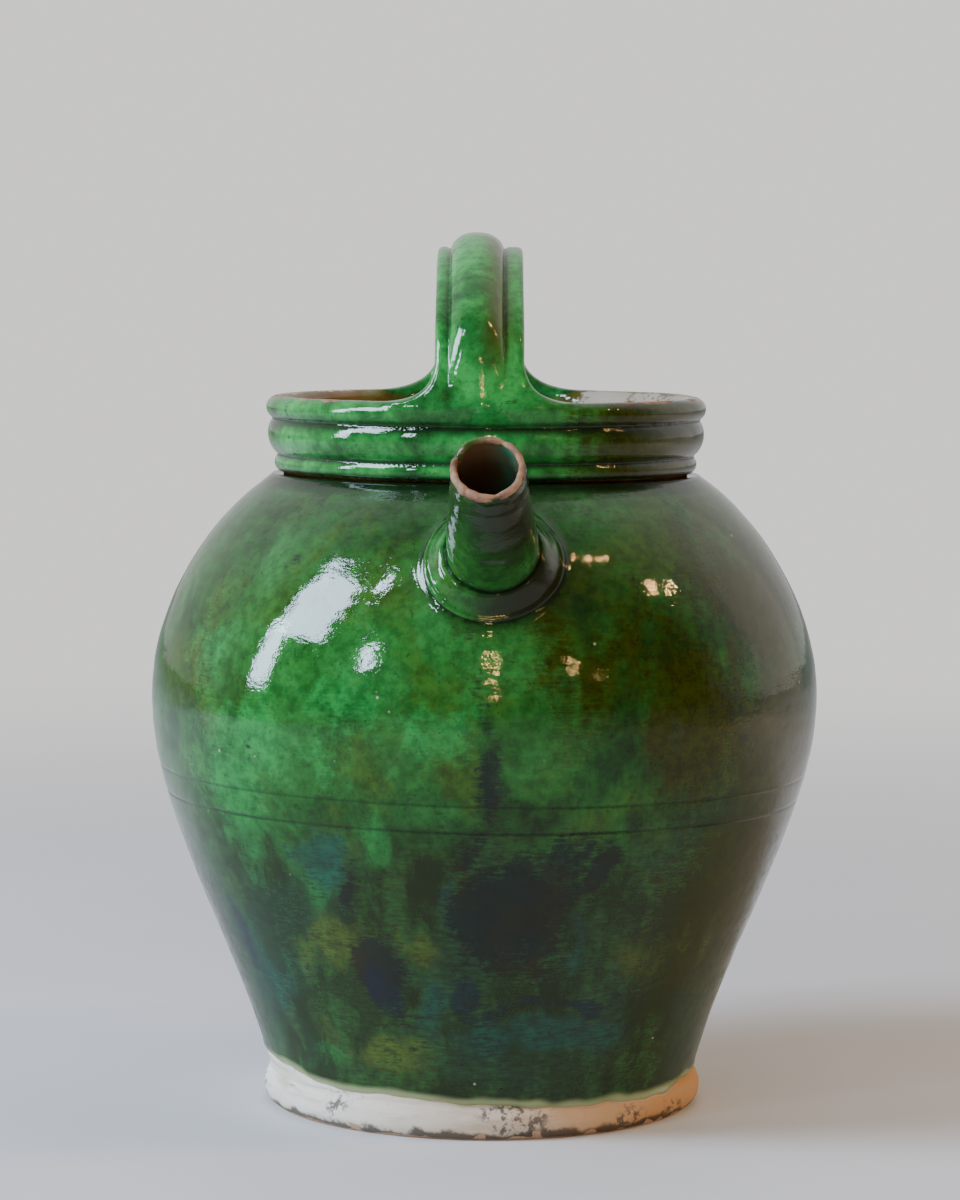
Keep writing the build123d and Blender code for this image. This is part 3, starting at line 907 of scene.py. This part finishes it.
def make_green_glaze():
    """Copper-green lead glaze: mottled glass, dark where it pools and with painted shade in creases and on
    the shaded side of the spout, worn and dusty in places, with pale painted light inside the far rim.
    """
    s = Shader("green_glaze")
    broad = s.noise(10, 3, 0.5, warp=0.5)
    cloud = s.noise(34, 6, 0.62, s.stretched(1, 1, 0.8, 3.1), 0.3)
    drift = s.noise(21, 5, 0.6, s.stretched(1, 1, 1.1, 7.7), 0.3)
    drip = s.noise(62, 5, 0.62, s.stretched(1, 1, 0.32, 5.3))
    grain = s.noise(330, 4, 0.7, s.stretched(0.7, 0.7, 1.5, 2.9))
    turned = s.noise(620, 4, 0.68, s.stretched(0.24, 0.24, 2.0, 1.7))
    speck = s.noise(560, 2, 0.6, s.stretched(1, 1, 1, 8.1))
    flecks = s.times(s.plus(grain, turned), 0.5)

    def patch(name, weight, reach=0.2):
        """A fired patch's mask: its soft mark broken up by drips, clouds and grain."""
        ragged = s.plus(s.swing(drip, 1.5), s.swing(flecks, 1.5))
        value = s.plus(s.plus(s.mark(name), s.swing(cloud, 1.3)), ragged)
        return s.span(value, 0.50 - reach, 0.50 + reach, 0.0, weight)

    s.colour = s.mix(s.span(broad, 0.35, 0.65), (0.010, 0.060, 0.009), (0.020, 0.130, 0.020))
    s.lay(s.span(cloud, 0.45, 0.70, 0.0, 0.8), (0.036, 0.210, 0.045))
    s.lay(s.span(cloud, 0.48, 0.34, 0.0, 0.75), (0.006, 0.034, 0.006))
    s.lay(s.span(drift, 0.50, 0.66, 0.0, 0.6), (0.050, 0.095, 0.006))
    vivid = s.times(s.mark("vivid"), s.span(cloud, 0.32, 0.62, 0.15, 0.80))
    s.lay(vivid, (0.045, 0.400, 0.080))
    height_wave = s.swing(cloud, 0.07)
    lower = s.span(s.plus(s.axis("Z"), height_wave), 0.140, 0.104)
    fired = s.mix(s.span(drip, 0.42, 0.60), (0.014, 0.024, 0.004), (0.026, 0.088, 0.018))
    fired = s.mix(s.span(drift, 0.47, 0.64, 0.0, 0.5), fired, (0.014, 0.070, 0.040))
    s.lay(s.times(lower, 0.85), fired)
    s.lay(patch("emerald", 0.75, 0.30), (0.022, 0.250, 0.050))
    # Olive: fired patches on the body, and a painted warm shade on the collar's right front.
    s.lay(patch("olive", 0.95, 0.32), (0.028, 0.034, 0.0))
    s.lay(patch("lime", 0.70), (0.080, 0.135, 0.016))
    s.lay(patch("teal", 0.75), (0.012, 0.080, 0.058))
    burnt = s.mix(s.span(drift, 0.40, 0.60), (0.020, 0.010, 0.006), (0.007, 0.012, 0.016))
    s.lay(patch("dark", 0.86), burnt)
    s.lay(patch("navy", 0.75), (0.008, 0.016, 0.034))
    rubbed = s.times(s.span(flecks, 0.48, 0.60), lower)
    s.lay(s.times(rubbed, 0.42), (0.048, 0.060, 0.018))
    mottle = s.noise(210, 5, 0.68, s.stretched(1, 1, 1, 6.6))
    upper_shade = s.span(mottle, 0.34, 0.68, 1.22, 0.66)
    lower_shade = s.span(flecks, 0.38, 0.62, 1.15, 0.45)
    shade = s.mix(s.times(lower, 0.8), upper_shade, lower_shade)
    s.lay(1.0, shade, "MULTIPLY")
    s.lay(s.times(s.mark("dust"), s.span(grain, 0.35, 0.62, 0.15, 0.75)), (0.066, 0.092, 0.058))
    s.lay(s.times(s.mark("brown"), 0.75), (0.085, 0.070, 0.010))
    grime_and_shade = s.mark("grime_and_shade")
    # Grime and painted shade on the spout and the luting ring.
    s.lay(s.times(grime_and_shade, s.span(cloud, 0.3, 0.6, 0.7, 1.0)), (0.014, 0.014, 0.008))
    # Near black: pooled glaze and painted shade in grooves, creases and joins.
    s.lay(s.times(s.mark("pool_and_shade"), 0.93), (0.0035, 0.009, 0.0035))
    s.lay(s.span(speck, 0.62, 0.72, 0.0, 0.5), (0.008, 0.016, 0.007))
    s.lay(s.span(s.mark("thin"), 0.15, 0.95), (0.300, 0.360, 0.170))
    chip_zone = s.span(s.noise(60, 2, 0.5, s.stretched(1, 1, 1, 9.4)), 0.66, 0.70)
    chips = s.times(s.span(s.cells(170, "F1", s.stretched(1, 1, 1, 2.2)), 0.12, 0.07), chip_zone)
    s.lay(s.times(chips, 0.85), (0.42, 0.38, 0.28))
    lining = s.mix(s.span(cloud, 0.35, 0.65), (0.150, 0.062, 0.014), (0.24, 0.14, 0.055))
    s.lay(s.mark("mouth"), lining)
    inside = s.mark("inside")
    s.lay(inside, s.mix(s.mark("vivid"), (0.17, 0.095, 0.045), (0.050, 0.230, 0.130)))
    # Worn spots, with painted light on the far right of the mouth, drawn as bare pale clay.
    wear_and_painted_light = s.span(s.plus(s.mark("wear_and_painted_light"), s.swing(speck, 0.7)), 0.42, 0.60)
    bare = s.math("MAXIMUM", s.mark("bare"), wear_and_painted_light)
    clay = s.mix(s.span(s.noise(160, 4, 0.65), 0.35, 0.65), (0.42, 0.215, 0.125), (0.16, 0.070, 0.038))
    worn_clay = s.mix(s.span(s.noise(110, 5, 0.7), 0.40, 0.62), clay, (0.37, 0.235, 0.145))
    # Pale colour for bare spots in the mouth, mostly the painted light on its far right.
    worn_clay = s.mix(s.mark("mouth"), worn_clay, (0.66, 0.60, 0.50))
    s.lay(bare, worn_clay)
    roughness = s.span(s.noise(40, 4, 0.6, s.stretched(1, 1, 1.5, 4.4)), 0.3, 0.75, 0.015, 0.040)
    matte = s.times(lower, s.span(mottle, 0.40, 0.62, 0.08, 0.22))
    roughness = s.plus(roughness, matte)
    roughness = s.plus(roughness, s.times(s.mark("dust"), s.span(grain, 0.4, 0.65, 0.0, 0.05)))
    roughness = s.plus(roughness, s.times(grime_and_shade, 0.07))
    roughness = s.math("MAXIMUM", roughness, s.times(bare, 0.82))
    waves = s.bump(s.noise(80, 5, 0.62, s.stretched(0.8, 0.8, 1.2)), 0.0006, 0.42)
    lines = s.bump(turned, 0.00003, 0.3, waves)
    pits = s.bump(s.math("SUBTRACT", s.times(speck, 0.2), chips), 0.00018, 0.4, lines)
    grit = s.bump(s.times(bare, s.noise(500, 5, 0.7)), 0.0006, 0.8, pits)
    return s.finish(roughness, grit, Specular_IOR_Level=0.5, IOR=1.58)


def make_cream_slip():
    """Matte cream slip over red clay: rubbed edges, iron specks, darker along the bottom edge, and a
    painted warm light on the right side.
    """
    s = Shader("cream_slip")
    x, z = s.axis("X"), s.axis("Z")
    soft = s.noise(30, 5, 0.6)
    s.colour = s.mix(s.span(soft, 0.3, 0.7), (0.78, 0.73, 0.62), (0.90, 0.87, 0.78))
    # The foot is tinted by side: tan on the left, and on the right a warm orange that is painted warm
    # light.
    side = s.plus(x, s.swing(soft, 0.08))
    s.lay(s.span(side, -0.075, 0.0, 0.0, 0.8), (0.62, 0.50, 0.36))
    s.lay(s.span(side, 0.0, 0.075, 0.0, 0.85), (0.55, 0.27, 0.085))
    streak = s.noise(120, 4, 0.6, s.stretched(0.3, 0.3, 3.0))
    s.lay(s.span(streak, 0.46, 0.70, 0.0, 0.5), (0.45, 0.34, 0.22))
    # Darker along the bottom edge, next to the floor.
    low = s.span(s.plus(z, s.swing(s.noise(90, 5, 0.65), 0.012)), 0.0042, 0.0018)
    s.lay(s.times(low, 0.85), (0.060, 0.047, 0.034))
    scuff_zone = s.span(s.noise(26, 3, 0.5, s.stretched(1, 1, 1, 6.1)), 0.52, 0.60)
    scuff_dots = s.span(s.noise(330, 3, 0.7), 0.47, 0.60)
    s.lay(s.times(s.times(scuff_zone, scuff_dots), 0.85), (0.085, 0.075, 0.065))
    specks = s.span(s.cells(190), 0.14, 0.07)
    speck_zone = s.span(s.noise(45, 2, 0.5, s.stretched(1, 1, 1, 2.7)), 0.50, 0.60)
    s.lay(s.times(s.times(specks, speck_zone), 0.7), (0.07, 0.05, 0.04))
    s.lay(s.times(s.mark("chip"), 0.7), (0.20, 0.13, 0.09))
    bump = s.bump(s.noise(90, 5, 0.65), 0.0008, 0.5)
    bump = s.bump(s.noise(420, 4, 0.7), 0.0003, 0.6, bump)
    return s.finish(0.88, bump, Specular_IOR_Level=0.25)


def make_honey_glaze():
    """The lining: a thin honey lead glaze over red clay."""
    s = Shader("honey_glaze")
    cloud = s.noise(22, 5, 0.6)
    s.colour = s.mix(s.span(cloud, 0.3, 0.7), (0.22, 0.095, 0.025), (0.38, 0.20, 0.06))
    rings = s.noise(160, 3, 0.6, s.stretched(0.1, 0.1, 2.0))
    s.lay(s.span(rings, 0.45, 0.7, 0.0, 0.4), (0.12, 0.05, 0.02))
    bump = s.bump(rings, 0.0006, 0.6)
    return s.finish(s.span(cloud, 0.3, 0.7, 0.14, 0.32), bump, Specular_IOR_Level=0.55)


def make_earthenware():
    """Bare red clay of the underside: turning marks and sandy grain."""
    s = Shader("earthenware")
    cloud = s.noise(25, 5, 0.6)
    s.colour = s.mix(s.span(cloud, 0.3, 0.7), (0.44, 0.26, 0.16), (0.60, 0.42, 0.28))
    grain = s.noise(350, 5, 0.7)
    s.lay(s.span(grain, 0.52, 0.7, 0.0, 0.5), (0.25, 0.14, 0.09))
    bump = s.bump(s.noise(60, 4, 0.6), 0.0009, 0.5)
    bump = s.bump(grain, 0.0004, 0.7, bump)
    return s.finish(0.92, bump, Specular_IOR_Level=0.2)


green_glaze = make_green_glaze()
cream_slip = make_cream_slip()
honey_glaze = make_honey_glaze()
earthenware = make_earthenware()


def dress(node, material):
    """Give a CAD node that keeps its shape a finished material."""
    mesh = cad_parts[node].data
    mesh.materials.clear()
    mesh.materials.append(material)


# ---------------------------------------------------------------- the object
glaze_coat()
slip_band()
collar_and_handle()
spout()
luting_ring()
dress("jar_body", earthenware)
dress("inner_glaze", honey_glaze)


# ---------------------------------------------------------------- floor, light and camera
BACKDROP = (1.04, 1.02, 1.0)
DIM_FLOOR = (0.070, 0.062, 0.040)
ROOM_FRONT, ROOM_BACK = (0.055, 0.046, 0.030), (0.66, 0.66, 0.66)
FLOOR_REACH = 30.0


def pale_floor():
    """A matte floor that brightens into the backdrop away from the jug, so it has no horizon.

    Glazed faces mirror it dimmer in front of the jug, as in a room that is darker on that side.
    """
    s = Shader("pale_floor")
    s.colour = s.mix(s.span(s.noise(2.2, 4, 0.5), 0.3, 0.7), (0.66, 0.67, 0.69), (0.72, 0.73, 0.74))
    material = s.finish(0.55, s.bump(s.noise(300, 3, 0.6), 0.0002, 0.2), Specular_IOR_Level=0.3)
    distance = s.node("ShaderNodeVectorMath", operation="LENGTH")
    s.plug(s.place, distance.inputs[0])
    rays = s.node("ShaderNodeLightPath")
    far = s.times(s.span(distance.outputs["Value"], 0.35, 1.75), rays.outputs["Is Camera Ray"])
    look = s.mix_shaders(far, s.surface.outputs["BSDF"], s.glow(BACKDROP))
    in_front = s.span(s.axis("Y"), 0.45, -0.25, 0.0, 0.65)
    mirrored = s.times(rays.outputs["Is Glossy Ray"], in_front)
    look = s.mix_shaders(mirrored, look, s.glow(DIM_FLOOR))
    s.plug(look, s.tree.nodes["Material Output"].inputs["Surface"])
    mesh = bpy.data.meshes.new("floor")
    corners = [(-FLOOR_REACH, -FLOOR_REACH, 0), (FLOOR_REACH, -FLOOR_REACH, 0)]
    corners += [(FLOOR_REACH, FLOOR_REACH, 0), (-FLOOR_REACH, FLOOR_REACH, 0)]
    mesh.from_pydata(corners, [], [(0, 1, 2, 3)])
    mesh.materials.append(material)
    floor = bpy.data.objects.new("floor", mesh)
    bpy.context.scene.collection.objects.link(floor)


def softbox(name, place, target, size, colour, power, glints=True):
    """A rectangular lamp that faces its target; glints says whether glossy faces mirror it."""
    light = bpy.data.lights.new(name, "AREA")
    light.shape = "RECTANGLE"
    light.size, light.size_y = size
    light.color = colour
    light.energy = power
    lamp = bpy.data.objects.new(name, light)
    bpy.context.scene.collection.objects.link(lamp)
    lamp.location = place
    lamp.rotation_euler = (Vector(target) - Vector(place)).to_track_quat("-Z", "Y").to_euler()
    lamp.visible_glossy = glints


def around(turn, distance, height):
    """A place round the jug: angle from the front towards +X in degrees, distance and height."""
    return distance * math.sin(math.radians(turn)), -distance * math.cos(math.radians(turn)), height


COOL = (0.66, 0.79, 1.0)
WARM = (1.0, 0.60, 0.22)


# Groups of small lamps: bearing, distance and height, spread in degrees, power of the brightest.
LAMPS = (
    ("lamp_high", (63, 1.3, 2.25), 5.0, 1.7),
    ("lamp_side", (78, 1.5, 1.55), 5.0, 1.5),
    ("lamp_front", (1, 1.9, 1.12), 2.5, 0.8),
    ("lamp_low", (1, 1.9, 0.70), 2.0, 0.6),
    ("lamp_far", (30, 2.2, 1.05), 6.5, 0.6),
)
FLAMES = ((0.0, 0.0), (1.2, -1.1))
FLAME_SIZE = (0.026, 0.026)
SHOULDER = (0, 0, 0.22)


def studio():
    """A pale room: bright behind the jug, dim in front, with a tall window on the left."""
    world = bpy.data.worlds.new("studio")
    bpy.context.scene.world = world
    world.use_nodes = True
    s = Nodes(world.node_tree, "Generated")
    room = s.mix(s.span(s.axis("Y"), -0.25, 0.45), ROOM_FRONT, ROOM_BACK)
    seen = s.node("ShaderNodeLightPath").outputs["Is Camera Ray"]
    background = world.node_tree.nodes["Background"]
    s.plug(s.mix(seen, room, BACKDROP), background.inputs["Color"])
    background.inputs["Strength"].default_value = 1.0
    softbox("window_top", around(-71, 2.0, 1.76), (0, 0, 1.46), (0.88, 1.24), COOL, 84)
    softbox("window_low", around(-81, 2.0, 0.78), (0, 0, 0.7), (0.26, 0.75), COOL, 16)
    softbox("window_side", around(-41, 2.2, 1.15), (0, 0, 0.9), (0.16, 0.50), COOL, 8)
    softbox("window_cross", around(-50, 2.0, 2.60), (0, 0, 1.9), (0.14, 0.45), COOL, 8)
    softbox("room_right", around(122, 2.6, 0.9), (0, 0, 0.5), (1.5, 2.4), (1.0, 0.80, 0.60), 2)
    for name, (turn, distance, height), spread, power in LAMPS:
        for number, (aside, up) in enumerate(FLAMES):
            place = around(turn + aside * spread, distance, height + up * spread * 0.03)
            strength = power * (1 - 0.4 * number)
            softbox(f"{name}_{number}", place, SHOULDER, FLAME_SIZE, WARM, strength)
    softbox("warm_floor", around(85, 1.6, 0.8), (0.3, 0, 0.0), (0.5, 0.5), (1.0, 0.62, 0.34), 11, False)
    softbox("room_front", around(-20, 2.6, 1.6), (0, 0, 0.15), (1.6, 1.6), (1.0, 0.97, 0.94), 22, False)


CAMERA_FOCAL = 4000.0
CAMERA_DISTANCE = 1.634
CAMERA_HEIGHT = 0.3463
CAMERA_TILT = 4.92
CAMERA_ROLL = 0.39
PICTURE_HEIGHT = 1200
SENSOR = 36.0


def camera():
    """A long lens, a little above the rim and tilted down."""
    data = bpy.data.cameras.new("camera")
    data.sensor_width = SENSOR
    data.lens = CAMERA_FOCAL / PICTURE_HEIGHT * SENSOR
    data.clip_end = 60
    eye = bpy.data.objects.new("camera", data)
    eye.location = (-0.0029, -CAMERA_DISTANCE, CAMERA_HEIGHT)
    eye.rotation_euler = (math.radians(90 - CAMERA_TILT), math.radians(-CAMERA_ROLL), 0)
    bpy.context.scene.collection.objects.link(eye)
    bpy.context.scene.camera = eye


pale_floor()
studio()
camera()
